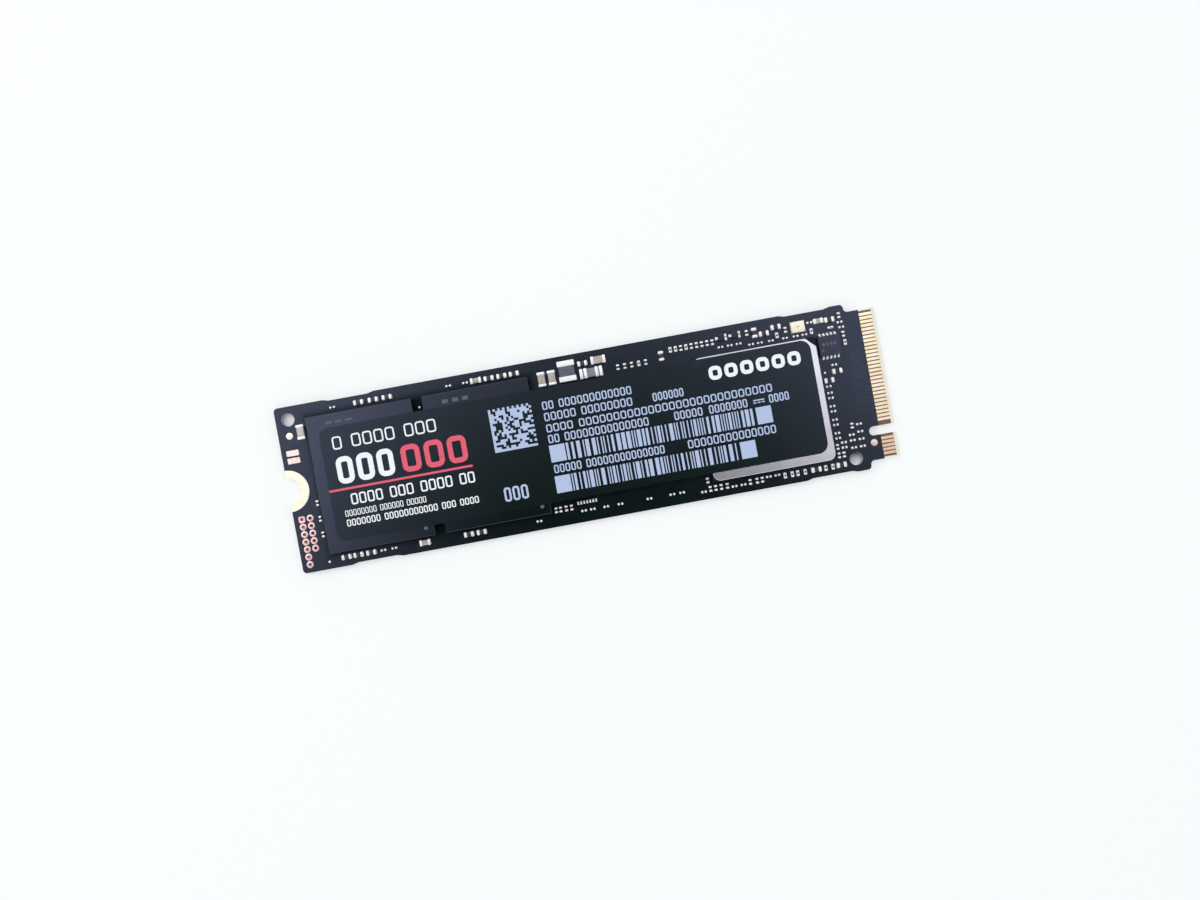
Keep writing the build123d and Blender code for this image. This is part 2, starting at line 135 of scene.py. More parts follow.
def paint(red, green, blue):
    """A colour as a screen shows it, 0 to 255, made linear."""
    shares = [level / 255 for level in (red, green, blue)]
    return (*[s / 12.92 if s < 0.04045 else ((s + 0.055) / 1.055) ** 2.4 for s in shares], 1)


def new_finish(name, **constants):
    """A material, its shader, and the place on the piece in millimetres."""
    material = bpy.data.materials.new(name)
    material.use_nodes = True
    shader = material.node_tree.nodes["Principled BSDF"]
    for socket, value in constants.items():
        shader.inputs[socket.replace("_", " ")].default_value = value
    coordinates = material.node_tree.nodes.new("ShaderNodeTexCoord")
    metres = Wire(material.node_tree, coordinates.outputs["Object"])
    place = metres.node(
        "ShaderNodeVectorMath", {"operation": "SCALE"}, {"Vector": metres, "Scale": 1 / MM}
    )
    return material, shader, place


def raise_grain(height, shader, depth):
    """Relief of that depth in millimetres on a surface."""
    height.node(
        "ShaderNodeBump", {}, {"Height": height, "Strength": 1.0, "Distance": depth * MM}
    ).feed(shader, "Normal")


def blend(material, share, shader, other):
    """Shows another shader by that share, over the material's own."""
    own = Wire(material.node_tree, shader.outputs[0])
    share.node("ShaderNodeMixShader", {}, {0: share, 1: own, 2: other}).feed(
        material.node_tree.nodes["Material Output"], "Surface"
    )


def coat(material, *names):
    """Gives CAD nodes a material."""
    for name in names:
        for held in nodes[name].material_slots:
            held.material = material


def span(name):
    """Lowest and highest corners of a CAD node, in millimetres."""
    low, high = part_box(name)
    return low / MM, high / MM


def upright(place):
    """1 on faces that stand up, 0 on faces that lie flat."""
    normal = place.node("ShaderNodeNewGeometry", output="Normal")
    return 1 - abs(normal.axis(2)).step(0.3, 0.7)


def squared_distance(place, x, y):
    """Square of the distance from an upright axis, in square millimetres."""
    away_x, away_y = place.axis(0) - x, place.axis(1) - y
    return away_x * away_x + away_y * away_y


board_low, board_high = span("circuit_board")
finger_low, finger_high = span("gold_fingers_top")
mask_dark, mask_pale = paint(7, 20, 14), paint(11, 24, 19)
laminate_brown, laminate_straw = paint(96, 76, 54), paint(124, 100, 74)
core_pale = paint(240, 234, 214)
edge_brown = paint(62, 56, 48)
drilled_grey = paint(158, 162, 170)
blue_sheen = (0.56, 0.61, 1.0, 1)
mask_finish, mask_shader, place = new_finish(
    "solder_mask", IOR=1.5, Specular_IOR_Level=0.66, Specular_Tint=blue_sheen
)
along, across, up = [place.axis(number) for number in range(3)]
side_wall = upright(place)
mask_fade = 0.03
bevel_start, bevel_end = finger_high.x - 0.02, finger_high.x + 0.06
tongue_rim_start, tongue_rim_end = finger_high.y + 0.24, finger_high.y + 0.34
window = along.step(finger_low.x - mask_fade, finger_low.x)
bevel = along.step(bevel_start, bevel_end)
routed = abs(across).step(tongue_rim_start, tongue_rim_end)
mottle = place.noise(2.2, 4.0)
cloth = place.noise(0.18, 1.0, (1, 0.25, 1)) * 0.5 + place.noise(0.18, 1.0, (0.25, 1, 1)) * 0.5
mask_colour = mottle.step(0.3, 0.75).mix(mask_dark, mask_pale)
laminate_colour = cloth.step(0.35, 0.65).mix(laminate_brown, laminate_straw)
laminate_colour = bevel.at_least(routed).mix(laminate_colour, core_pale)

hole_from_long_edge, left_hole_from_end, right_hole_from_end = 1.72, 1.65, 5.8
hole_spots = (
    (board_low.x + left_hole_from_end, board_high.y - hole_from_long_edge),
    (board_high.x - right_hole_from_end, board_low.y + hole_from_long_edge),
)
drilled = sum(1 - squared_distance(place, *spot).step(0.9, 1.1) for spot in hole_spots)
wall_colour = window.mix(cloth.step(0.4, 0.6).mix(edge_brown, mask_dark), core_pale)
wall_colour = drilled.mix(wall_colour, drilled_grey)
side_wall.mix(window.mix(mask_colour, laminate_colour), wall_colour).feed(mask_shader, "Base Color")
(0.15 + mottle * 0.06 + window * 0.35 + side_wall * 0.35).feed(mask_shader, "Roughness")
raise_grain(place.noise(0.35, 2.0) * 0.3 + window * cloth * 2, mask_shader, 0.004)

flash_low, flash_high = span("flash_package_near")[0], span("flash_package_far")[1]
flash_middle, flash_half = (flash_low + flash_high) / 2, (flash_high - flash_low) / 2
beside_ends = abs(along - flash_middle.x) - flash_half.x
beside_flash = beside_ends.at_least(abs(across - flash_middle.y) - flash_half.y)
# Painted shade: beside the flash packages the mask gets a weaker reflection, standing in for the shade that
# the packages cast on the board.
package_shade_from, package_shade_reach = -0.3, 1.2
painted_package_shade = (1 - beside_flash.step(package_shade_from, package_shade_reach)) * up.step(0.6, 0.7)
shaded_mask_gloss = place.node(
    "ShaderNodeBsdfPrincipled", {},
    {"Base Color": mask_colour, "Roughness": 0.35, "Specular IOR Level": 0.1, "Specular Tint": blue_sheen},
)
blend(mask_finish, painted_package_shade, mask_shader, shaded_mask_gloss)
coat(mask_finish, "circuit_board")

# Copper under the mask: signal lines that fan out from the contacts, etched from foil and coated
# over, so that they stand up as low ridges.


def deselect():
    """Leaves nothing selected."""
    bpy.ops.object.select_all(action="DESELECT")


def settle(piece, name, material, slot, *stood_for):
    """Names a finished piece and gives it its material, its body and the nodes that it stands for."""
    piece.name = name
    piece.data.name = name
    piece.data.materials.clear()
    piece.data.materials.append(material)
    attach(piece, "root")
    if stood_for:
        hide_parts(*stood_for)


def unite(pieces):
    """Joins pieces into one."""
    deselect()
    for piece in pieces:
        piece.select_set(True)
    bpy.context.view_layer.objects.active = pieces[0]
    bpy.ops.object.join()
    return pieces[0]


def trace_run(points, width):
    """One ridge along a run of points on the upper face, in millimetres."""
    curve = bpy.data.curves.new("trace_run", "CURVE")
    curve.dimensions = "3D"
    curve.bevel_depth = width * MM / 2
    curve.bevel_resolution = 0
    curve.use_fill_caps = True
    spline = curve.splines.new("POLY")
    spline.points.add(len(points) - 1)
    for point, (x, y) in zip(spline.points, points):
        point.co = (x * MM, y * MM, 0, 1)
    run = bpy.data.objects.new("trace_run", curve)
    bpy.context.scene.collection.objects.link(run)
    deselect()
    run.select_set(True)
    bpy.context.view_layer.objects.active = run
    bpy.ops.object.convert(target="MESH")
    return bpy.context.object


board_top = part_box("circuit_board")[1].z
trace_width, trace_height, trace_sunk = 0.12, 0.007, 0.001
trace_root = finger_low.x - 0.15
lanes, lane_gap, contact_pitch, lane_corner = 8, 0.24, 0.5, 0.2
first_lane_x, first_lane_y = trace_root - 0.4, 0.6
lane_end, lane_end_step = 5.2, 0.12
runs = []
for lane in range(lanes):
    x, y = first_lane_x - lane_gap * lane, first_lane_y - contact_pitch * lane
    turn_y = y - lane_corner
    end_y = lane_end - lane_end_step * lane
    runs.append([(trace_root, turn_y), (x + lane_corner, turn_y), (x, y), (x, end_y)])
traces = unite([trace_run(points, trace_width) for points in runs])
traces.data.transform(Matrix.Diagonal((1, 1, 2 * trace_height / trace_width, 1)))
traces.data.transform(Matrix.Translation((0, 0, board_top - trace_sunk * MM)))
trace_dark, trace_pale = paint(40, 45, 60), paint(60, 65, 84)
trace_finish, trace_shader, place = new_finish(
    "masked_copper", IOR=1.5, Specular_IOR_Level=0.8, Specular_Tint=blue_sheen
)
place.noise(0.8, 3.0).step(0.3, 0.7).mix(trace_dark, trace_pale).feed(trace_shader, "Base Color")
(0.18 + place.noise(0.3) * 0.1).feed(trace_shader, "Roughness")
settle(traces, "copper_traces", trace_finish, "solder_mask")

# Contact fingers: copper strips at half a millimetre pitch, plated with nickel and hard gold and
# polished along their length by the plating brush. Past the key slot the gold is redder.

gold_bright, gold_warm, gold_red = paint(255, 240, 216), paint(242, 220, 188), paint(239, 207, 178)
red_below, gold_above = -7.2, -6.6
gold_finish, gold_shader, place = new_finish("contact_gold", Metallic=1.0)
wipe = place.noise(0.06, 2.0, (0.08, 1, 1))
tarnish = place.noise(1.4, 3.0)
plated = (tarnish * 0.7 + wipe * 0.3).step(0.35, 0.65).mix(gold_bright, gold_warm)
beyond_key = 1 - place.axis(1).step(red_below, gold_above)
beyond_key.mix(plated, gold_red).feed(gold_shader, "Base Color")
(0.26 + wipe * 0.16).feed(gold_shader, "Roughness")
raise_grain(wipe, gold_shader, 0.002)
coat(gold_finish, "gold_fingers_top", "gold_fingers_bottom")

# Notch plating: the screw's half eyelet, plated through and gold flashed, with rings worn by a screw
# head turning on it.

notch_bright, notch_worn = paint(244, 243, 222), paint(230, 225, 199)
notch_finish, notch_shader, place = new_finish("notch_gold", Metallic=1.0)
from_screw = squared_distance(place, span("board_notch_plating")[0].x, 0)
turning = place.node(
    "ShaderNodeTexNoise", {"noise_dimensions": "1D"},
    {"W": from_screw.math("SQRT", from_screw), "Scale": 14.0, "Detail": 2.0},
)
worn = (turning * 0.6 + place.noise(0.7) * 0.4).step(0.35, 0.7)
worn.mix(notch_bright, notch_worn).feed(notch_shader, "Base Color")
(0.3 + turning * 0.2).feed(notch_shader, "Roughness")
raise_grain(turning, notch_shader, 0.003)
coat(notch_finish, "board_notch_plating")

# Test points, camera marks and bare pads: copper lands left open in the mask and flashed with a thin
# pinkish gold. The rings stand round filled vias, and one of them is square.

tolerance = 1e-7


def solids_of(node):
    """Low corner, high corner and number of corners of each solid in a CAD node, in order of place."""
    mesh = bmesh.new()
    mesh.from_mesh(nodes[node].data)
    bmesh.ops.remove_doubles(mesh, verts=mesh.verts, dist=tolerance)
    unseen = set(mesh.verts)
    boxes = []
    while unseen:
        front = [unseen.pop()]
        reached = list(front)
        while front:
            vertex = front.pop()
            for edge in vertex.link_edges:
                other = edge.other_vert(vertex)
                if other in unseen:
                    unseen.remove(other)
                    front.append(other)
                    reached.append(other)
        places = [vertex.co for vertex in reached]
        low = Vector([min(p[axis] for p in places) for axis in range(3)])
        high = Vector([max(p[axis] for p in places) for axis in range(3)])
        boxes.append((low, high, len(reached)))
    mesh.free()
    return sorted(boxes, key=lambda box: tuple(round(value, 7) for value in box[0]))


def block(low, high):
    """A cube between two corners, its size and place in its mesh."""
    deselect()
    bpy.ops.mesh.primitive_cube_add(size=1, location=(Vector(low) + Vector(high)) / 2)
    piece = bpy.context.object
    piece.scale = Vector(high) - Vector(low)
    bpy.ops.object.transform_apply(location=True, rotation=True, scale=True)
    return piece


def disc(centre, low_z, high_z, radius, sides):
    """A cylinder standing between two heights, its place in its mesh."""
    deselect()
    bpy.ops.mesh.primitive_cylinder_add(
        vertices=sides, radius=radius, depth=high_z - low_z,
        location=(centre.x, centre.y, (low_z + high_z) / 2),
    )
    piece = bpy.context.object
    bpy.ops.object.transform_apply(location=True, rotation=True, scale=True)
    return piece


def pick_faces(piece, wanted):
    """Selects the faces for which wanted(normal) holds, and stays in edit mode."""
    bpy.ops.object.mode_set(mode="EDIT")
    bpy.ops.mesh.select_mode(type="FACE")
    bpy.ops.mesh.select_all(action="DESELECT")
    bpy.ops.object.mode_set(mode="OBJECT")
    for face in piece.data.polygons:
        face.select = bool(wanted(face.normal))
    bpy.ops.object.mode_set(mode="EDIT")


def pick_edges(piece, wanted):
    """Selects the edges for which wanted(end, other_end) holds, and stays in edit mode."""
    bpy.ops.object.mode_set(mode="EDIT")
    bpy.ops.mesh.select_mode(type="EDGE")
    bpy.ops.mesh.select_all(action="DESELECT")
    bpy.ops.object.mode_set(mode="OBJECT")
    for edge in piece.data.edges:
        ends = [piece.data.vertices[index].co for index in edge.vertices]
        edge.select = bool(wanted(*ends))
    bpy.ops.object.mode_set(mode="EDIT")


def done():
    """Leaves edit mode, smooth over the roundings and true over the flats."""
    bpy.ops.object.mode_set(mode="OBJECT")
    bpy.ops.object.shade_smooth_by_angle(angle=math.radians(35))
    even = bpy.context.object.modifiers.new("even", "WEIGHTED_NORMAL")
    even.keep_sharp = True
    bpy.ops.object.modifier_apply(modifier=even.name)


def break_edges(piece, offset, segments, wanted):
    """Rounds the edges for which wanted(end, other_end) holds."""
    pick_edges(piece, wanted)
    bpy.ops.mesh.bevel(offset=offset, segments=segments, affect="EDGES", clamp_overlap=True)
    done()


def upper(height):
    """Edges that lie at that height."""
    return lambda a, b: abs(a.z - height) < tolerance and abs(b.z - height) < tolerance


def standing(a, b):
    """Edges that stand upright."""
    return abs(a.z - b.z) > tolerance and (a - b).to_2d().length < tolerance


def rounded_disc(centre, low_z, high_z, radius, sides, rounding, segments):
    """A disc with its upper rim rounded."""
    piece = disc(centre, low_z, high_z, radius, sides)
    break_edges(piece, rounding, segments, upper(high_z))
    return piece


def drill_out(piece, drill):
    """Cuts the shape of a drill out of a piece."""
    deselect()
    piece.select_set(True)
    bpy.context.view_layer.objects.active = piece
    cut = piece.modifiers.new("drill", "BOOLEAN")
    cut.operation = "DIFFERENCE"
    cut.object = drill
    cut.solver = "EXACT"
    bpy.ops.object.modifier_apply(modifier=cut.name)
    bpy.data.objects.remove(drill)


def flashed(name, bright, pink, relief=0.0):
    """Copper flashed with gold of two tones, smooth or with a fine relief."""
    finish, shader, place = new_finish(name, Metallic=1.0)
    place.noise(0.5, 3.0).step(0.35, 0.7).mix(bright, pink).feed(shader, "Base Color")
    (0.3 + place.noise(0.12) * 0.2).feed(shader, "Roughness")
    if relief:
        raise_grain(place.noise(0.06), shader, relief)
    return finish


land_rounding = 0.012 * MM
ring_finish = flashed("ring_gold", paint(246, 214, 216), paint(234, 196, 199))
ring_boxes = solids_of("test_rings")
fewest_corners_if_round = 32
square_ring_rounding = 0.2 * MM
ring_opening = 0.22 * MM
drill_overrun = 0.1 * MM
via_gap, via_rounding = 0.005 * MM, 0.004 * MM
rings, vias = [], []
for low, high, corners in ring_boxes:
    centre = (low + high) / 2
    if corners < fewest_corners_if_round:
        ring = block(low, high)
        break_edges(ring, square_ring_rounding, 4, standing)
    else:
        ring = disc(centre, low.z, high.z, (high.x - low.x) / 2, 24)
    drill_out(ring, disc(centre, low.z - drill_overrun, high.z + drill_overrun, ring_opening, 16))
    break_edges(ring, land_rounding, 2, upper(high.z))
    rings.append(ring)
    vias.append(rounded_disc(centre, low.z, centre.z, ring_opening - via_gap, 16, via_rounding, 1))
settle(unite(rings), "test_point_rings", ring_finish, "gold", "test_rings")

via_dark, via_red = paint(70, 22, 30), paint(92, 36, 42)
via_dusty, via_pale = paint(118, 72, 76), paint(144, 98, 102)
via_finish, via_shader, place = new_finish("filled_via", IOR=1.5, Specular_IOR_Level=0.2)
plugged = place.noise(0.3, 2.0).step(0.3, 0.7)
outer_edge, inner_edge = ring_boxes[0][1].x / MM, ring_boxes[-1][0].x / MM
between = inner_edge - outer_edge
outer_column = 1 - place.axis(0).step(outer_edge + 0.4 * between, outer_edge + 0.6 * between)
outer_column.mix(
    plugged.mix(via_dark, via_red), plugged.mix(via_dusty, via_pale)
).feed(via_shader, "Base Color")
(0.5 + plugged * 0.15).feed(via_shader, "Roughness")
settle(unite(vias), "test_point_vias", via_finish, "gold", "test_rings")

marks = [
    rounded_disc((low + high) / 2, low.z, high.z, (high.x - low.x) / 2, 40, land_rounding, 2)
    for low, high, corners in solids_of("fiducials")
]
mark_straw, mark_straw_worn = paint(254, 252, 238), paint(244, 240, 218)
mark_pink, mark_pink_worn = paint(242, 218, 208), paint(228, 202, 193)
mark_finish, mark_shader, place = new_finish("mark_gold", Metallic=1.0)
worn = place.noise(0.6, 3.0).step(0.35, 0.7)
by_connector = place.axis(0).step(-1, 1)
by_connector.mix(
    worn.mix(mark_straw, mark_straw_worn), worn.mix(mark_pink, mark_pink_worn)
).feed(mark_shader, "Base Color")
(0.34 + place.noise(0.12) * 0.2).feed(mark_shader, "Roughness")
settle(unite(marks), "camera_marks", mark_finish, "gold", "fiducials")

land_finish = flashed("land_gold", paint(240, 220, 215), paint(228, 196, 193), 0.003)
shortest_pad, pad_corner = 1 * MM, 0.08 * MM
pads = []
for low, high, corners in solids_of("bare_pads"):
    if high.x - low.x > shortest_pad:
        pad = block(low, high)
        break_edges(pad, pad_corner, 3, standing)
        break_edges(pad, land_rounding, 2, upper(high.z))
        pads.append(pad)
settle(unite(pads), "open_pads", land_finish, "gold", "bare_pads")

# Solder: tin on the small test dots, and reflowed balls under each package, squeezed to short barrels
# by its weight.


def repeat(model, placings):
    """Copies of a model at each placing, each with its own mesh, joined as one group."""
    copies = []
    for placing in placings:
        copy = model.copy()
        copy.data = model.data.copy()
        copy.data.transform(placing)
        bpy.context.scene.collection.objects.link(copy)
        copies.append(copy)
    bpy.data.objects.remove(model)
    return unite(copies)


tin_bright, tin_grey = paint(252, 252, 254), paint(232, 233, 239)
tin_finish, tin_shader, place = new_finish("solder_tin", Metallic=0.7)
frost = place.noise(0.16, 3.0)
frost.step(0.3, 0.7).mix(tin_bright, tin_grey).feed(tin_shader, "Base Color")
(0.36 + frost * 0.18).feed(tin_shader, "Roughness")
raise_grain(frost, tin_shader, 0.006)

dot_rounding = 0.02 * MM
dots = [
    rounded_disc((low + high) / 2, low.z, high.z, (high.x - low.x) / 2, 16, dot_rounding, 3)
    for low, high, corners in solids_of("bare_pads") if high.x - low.x < shortest_pad
]
settle(unite(dots), "tinned_dots", tin_finish, "tin", "bare_pads")

for package in ("flash_balls_near", "flash_balls_far", "memory_balls", "controller_balls"):
    boxes = solids_of(package)
    low, high, corners = boxes[0]
    half = (high.z - low.z) / 2
    deselect()
    bpy.ops.mesh.primitive_uv_sphere_add(segments=10, ring_count=6, radius=(high.x - low.x) / 2)
    ball = bpy.context.object
    bpy.ops.object.mode_set(mode="EDIT")
    for side in (1, -1):
        bpy.ops.mesh.select_all(action="SELECT")
        bpy.ops.mesh.bisect(
            plane_co=(0, 0, side * half), plane_no=(0, 0, side),
            use_fill=True, clear_outer=True, threshold=tolerance,
        )
    done()
    placings = [Matrix.Translation((a + b) / 2) for a, b, corners in boxes]
    settle(repeat(ball, placings), package + "_reflowed", tin_finish, "tin", package)

# Flash and memory packages: dies sealed in black moulding resin filled with ground silica, sawn
# square, so that their sides are rougher than their tops, with marks burnt in by laser.

resin_dark, resin_pale = paint(5, 14, 9), paint(10, 20, 14)


def moulded(name, sheen, *packages):
    """Coats packages with moulding resin of that sheen."""
    finish, shader, place = new_finish(
        name, IOR=1.5, Specular_IOR_Level=sheen, Specular_Tint=blue_sheen
    )
    silica = place.noise(0.05, 2.0)
    flow = place.noise(3.0, 3.0)
    (silica * 0.6 + flow * 0.4).step(0.3, 0.75).mix(resin_dark, resin_pale).feed(shader, "Base Color")
    (0.14 + silica * 0.05 + upright(place) * 0.16).feed(shader, "Roughness")
    raise_grain(silica, shader, 0.0004)
    coat(finish, *packages)


moulded("moulding_resin", 0.92, "flash_package_near", "flash_package_far", "memory_package")

burnt_dark, burnt_pale = paint(72, 78, 88), paint(94, 100, 112)
burnt_finish, burnt_shader, place = new_finish("laser_mark", IOR=1.45)
place.noise(0.08, 2.0).step(0.3, 0.7).mix(burnt_dark, burnt_pale).feed(burnt_shader, "Base Color")
(0.6 + place.noise(0.05) * 0.2).feed(burnt_shader, "Roughness")
burnt_depth, burnt_rounding = 0.004 * MM, 0.001 * MM


def burnt_dash(middle, length, width, corner):
    """A laser-burnt dash with round corners on top of a package."""
    half = Vector((length / 2, width / 2, 0))
    dash = block(middle - half, middle + half + Vector((0, 0, burnt_depth)))
    break_edges(dash, corner, 2, standing)
    return dash


def burnt_dot(middle, radius, sides):
    """A laser-burnt dot on top of a package."""
    return rounded_disc(middle, middle.z, middle.z + burnt_depth, radius, sides, burnt_rounding, 1)


dash_corner, dash_below_edge, dash_middles = 0.1 * MM, 1.18 * MM, (2.98, 4.31, 5.63)
dot_inset, dot_radius = Vector((1.07, -1.1, 0)) * MM, 0.27 * MM
burnt = []
for package, length, width in (("flash_package_near", 0.9, 0.3), ("flash_package_far", 0.8, 0.5)):
    low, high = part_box(package)
    for dash_middle in dash_middles:
        middle = Vector((low.x + dash_middle * MM, high.y - dash_below_edge, high.z))
        burnt.append(burnt_dash(middle, length * MM, width * MM, dash_corner))
    burnt.append(burnt_dot(Vector((high.x, low.y, high.z)) - dot_inset, dot_radius, 24))
settle(unite(burnt), "laser_marks", burnt_finish, "mould_compound")

# Controller: a die on a carrier of its own laminate, under a lid of rolled sheet pressed to a shallow
# cup and plated with satin nickel.

carrier_dark, carrier_pale = paint(12, 22, 18), paint(20, 30, 26)
carrier_finish, carrier_shader, place = new_finish(
    "carrier_laminate", IOR=1.5, Roughness=0.45, Specular_IOR_Level=0.25, Specular_Tint=blue_sheen
)
place.noise(0.4, 3.0).step(0.3, 0.7).mix(carrier_dark, carrier_pale).feed(carrier_shader, "Base Color")
raise_grain(place.noise(0.1), carrier_shader, 0.003)
coat(carrier_finish, "controller_substrate")

silicon_dark, silicon_pale = paint(70, 74, 84), paint(104, 108, 118)
silicon_finish, silicon_shader, place = new_finish("ground_silicon", Metallic=0.6)
ground = place.noise(0.4, 2.0, (0.1, 1, 1)).step(0.3, 0.7)
ground.mix(silicon_dark, silicon_pale).feed(silicon_shader, "Base Color")
(0.2 + place.noise(0.2) * 0.15).feed(silicon_shader, "Roughness")
coat(silicon_finish, "controller_die")

nickel_bright, nickel_lilac = paint(233, 236, 245), paint(215, 214, 228)
nickel_finish, nickel_shader, place = new_finish("satin_nickel", Metallic=1.0)
rolled = place.noise(0.09, 3.0, (1, 0.03, 1))
cloudy = place.noise(3.5, 3.0)
satin = (rolled * 0.15 + cloudy * 0.85).step(0.3, 0.72)
satin.mix(nickel_bright, nickel_lilac).feed(nickel_shader, "Base Color")
(0.2 + rolled * 0.03 + cloudy * 0.06).feed(nickel_shader, "Roughness")
raise_grain(rolled, nickel_shader, 0.0002)
coat(nickel_finish, "controller_lid")

# Chip resistors and capacitors: fired ceramic with tinned ends, each standing in two fillets of
# solder. The resistors show their white ceramic round a black glaze.

end_roundness = 0.32


def above(foot):
    """Edges that don't lie at the foot of a piece."""
    return lambda a, b: max(a.z, b.z) > foot + tolerance


def chip_end(low, high):
    """One tinned end, drawn round by its solder."""
    piece = block(low, high)
    rounding = end_roundness * min(high.x - low.x, high.y - low.y)
    break_edges(piece, rounding, 3, above(low.z))
    return piece


def chip_places(bodies, ways):
    """The middle and turn of each chip that lies along the board, across it, or either way."""
    placings = []
    for low, high, corners in solids_of(bodies):
        way = "along" if high.x - low.x < high.y - low.y else "across"
        if way in ways:
            middle = (low + high) / 2
            turn = Matrix.Rotation(0 if way == "along" else math.pi / 2, 4, "Z")
            placings.append(Matrix.Translation((middle.x, middle.y, board_top)) @ turn)
    return placings


def chip_sizes(bodies, ends):
    """Length between the ends, width, height over the board and length of one end, of a row's chips."""
    body_low, body_high, corners = solids_of(bodies)[0]
    end_low, end_high, corners = solids_of(ends)[0]
    end_length, width = sorted((end_high.x - end_low.x, end_high.y - end_low.y))
    between = min(body_high.x - body_low.x, body_high.y - body_low.y)
    return between, width, end_high.z - board_top, end_length


def near(placings, spots, reach):
    """The placings that lie within that many millimetres of a spot on the board."""
    return [
        placing for placing in placings
        if any((placing.translation.to_2d() / MM - Vector(spot)).length < reach for spot in spots)
    ]


glaze_dark, glaze_grey = paint(24, 26, 28), paint(56, 56, 60)
glaze_finish, glaze_shader, place = new_finish("dark_ceramic", IOR=1.5)
fired = place.noise(0.12, 2.0)
fired.step(0.3, 0.7).mix(glaze_dark, glaze_grey).feed(glaze_shader, "Base Color")
(0.35 + fired * 0.2).feed(glaze_shader, "Roughness")
raise_grain(fired, glaze_shader, 0.004)

alumina_white, alumina_grey = paint(214, 216, 220), paint(190, 192, 198)
alumina_finish, alumina_shader, place = new_finish("white_ceramic", IOR=1.6)
place.noise(0.1, 2.0).step(0.3, 0.7).mix(alumina_white, alumina_grey).feed(alumina_shader, "Base Color")
(0.4 + place.noise(0.05) * 0.2).feed(alumina_shader, "Roughness")
raise_grain(place.noise(0.05), alumina_shader, 0.004)

beige_grey, beige_grey_dark = paint(208, 204, 202), paint(176, 170, 167)
beige_warm, beige_warm_dark = paint(192, 182, 176), paint(158, 146, 140)
beige_finish, beige_shader, place = new_finish("beige_ceramic", IOR=1.5)
paler_batch_end = -31
batch = place.axis(0).step(paler_batch_end, paler_batch_end + 1)
fired = place.noise(0.3, 3.0).step(0.3, 0.72)
batch.mix(
    fired.mix(beige_grey, beige_grey_dark), fired.mix(beige_warm, beige_warm_dark)
).feed(beige_shader, "Base Color")
(0.4 + place.noise(0.08) * 0.2).feed(beige_shader, "Roughness")
raise_grain(place.noise(0.06), beige_shader, 0.006)

resistor_spots = [
    (8.4, 8.2), (12.7, 9.2), (13.4, 9.2), (14.8, 9.2), (26.8, 8.5), (34.0, 8.3), (31.3, 8.2), (35.4, 6.0),
    (24.5, -9.75), (25.5, -9.75), (26.2, -9.75), (27.2, -9.75), (30.0, -9.75), (30.9, -9.75),
]
beige_spots = [(32.4, 9.3)]
resistor_reach, beige_reach = 0.45, 0.6
lift, inset, body_rounding = 0.03 * MM, 0.05 * MM, 0.03 * MM
core_inset, core_drop, core_rounding = 0.01 * MM, 0.02 * MM, 0.02 * MM
glaze_inset, glaze_sunk, glaze_drop, glaze_corner = 0.11 * MM, 0.03 * MM, 0.008 * MM, 0.03 * MM
chip_groups = (
    ("tiny", "tiny", ("across",), 1.0, 1.0),
    ("slim", "tiny", ("along",), 0.76, 1.1),
    ("small", "small", ("along", "across"), 1.0, 1.0),
)
for group, kind, ways, slimness, end_growth in chip_groups:
    bodies, ends = kind + "_chip_bodies", kind + "_chip_ends"
    between, full_width, height, end_length = chip_sizes(bodies, ends)
    half_length = between / 2 - end_length * (end_growth - 1)
    half_width, end = full_width * slimness / 2, end_length * end_growth
    places = chip_places(bodies, ways)
    pair = [
        chip_end(Vector((start, -half_width, 0)), Vector((start + end, half_width, height)))
        for start in (half_length, -half_length - end)
    ]
    settle(repeat(unite(pair), places), group + "_chip_tinned_ends", tin_finish, "tin", ends)

    resistors = near(places, resistor_spots, resistor_reach) if kind == "tiny" else []
    beiges = near(places, beige_spots, beige_reach) if kind == "small" else []
    others = [placing for placing in places if placing not in resistors + beiges]
    body_end, body_side, body_top = half_length + inset, half_width - inset, height - inset
    body = block((-body_end, -body_side, lift), (body_end, body_side, body_top))
    break_edges(body, body_rounding, 2, upper(body_top))
    if beiges:
        pale_body = body.copy()
        pale_body.data = body.data.copy()
        settle(repeat(pale_body, beiges), "beige_chip_ceramic", beige_finish, "brown_ceramic", bodies)
    settle(repeat(body, others), group + "_chip_ceramic", glaze_finish, "dark_ceramic", bodies)
    if resistors:
        core_side, core_top = half_width - core_inset, height - core_drop
        core = block((-body_end, -core_side, lift), (body_end, core_side, core_top))
        break_edges(core, core_rounding, 1, upper(core_top))
        settle(repeat(core, resistors), group + "_resistor_ceramic", alumina_finish, "pale_ceramic", bodies)
        glaze_side = half_width - glaze_inset
        glaze = block(
            (-half_length, -glaze_side, height - glaze_sunk), (half_length, glaze_side, height - glaze_drop)
        )
        break_edges(glaze, glaze_corner, 2, standing)
        settle(repeat(glaze, resistors), group + "_resistor_glaze", glaze_finish, "dark_ceramic", bodies)

# Bypass capacitors and power inductors: pressed and fired bodies whose ends are dipped in silver and
# tinned, with solder drawn up their outer faces. The flat inductor's ends are split into two bands.

ferrite_blue, ferrite_blue_pale = paint(64, 68, 80), paint(90, 94, 106)
ferrite_grey, ferrite_grey_pale = paint(104, 106, 115), paint(136, 138, 146)
ferrite_finish, ferrite_shader, place = new_finish("pressed_ferrite", IOR=1.6)
pressed = (place.noise(0.09, 2.0) * 0.6 + place.noise(0.8) * 0.4).step(0.3, 0.7)
flat_core_start = 0.5
flat_core = place.axis(0).step(flat_core_start, flat_core_start + 0.1)
flat_core.mix(
    pressed.mix(ferrite_blue, ferrite_blue_pale), pressed.mix(ferrite_grey, ferrite_grey_pale)
).feed(ferrite_shader, "Base Color")
(0.45 + place.noise(0.06) * 0.2).feed(ferrite_shader, "Roughness")
raise_grain(place.noise(0.07, 2.0), ferrite_shader, 0.01)

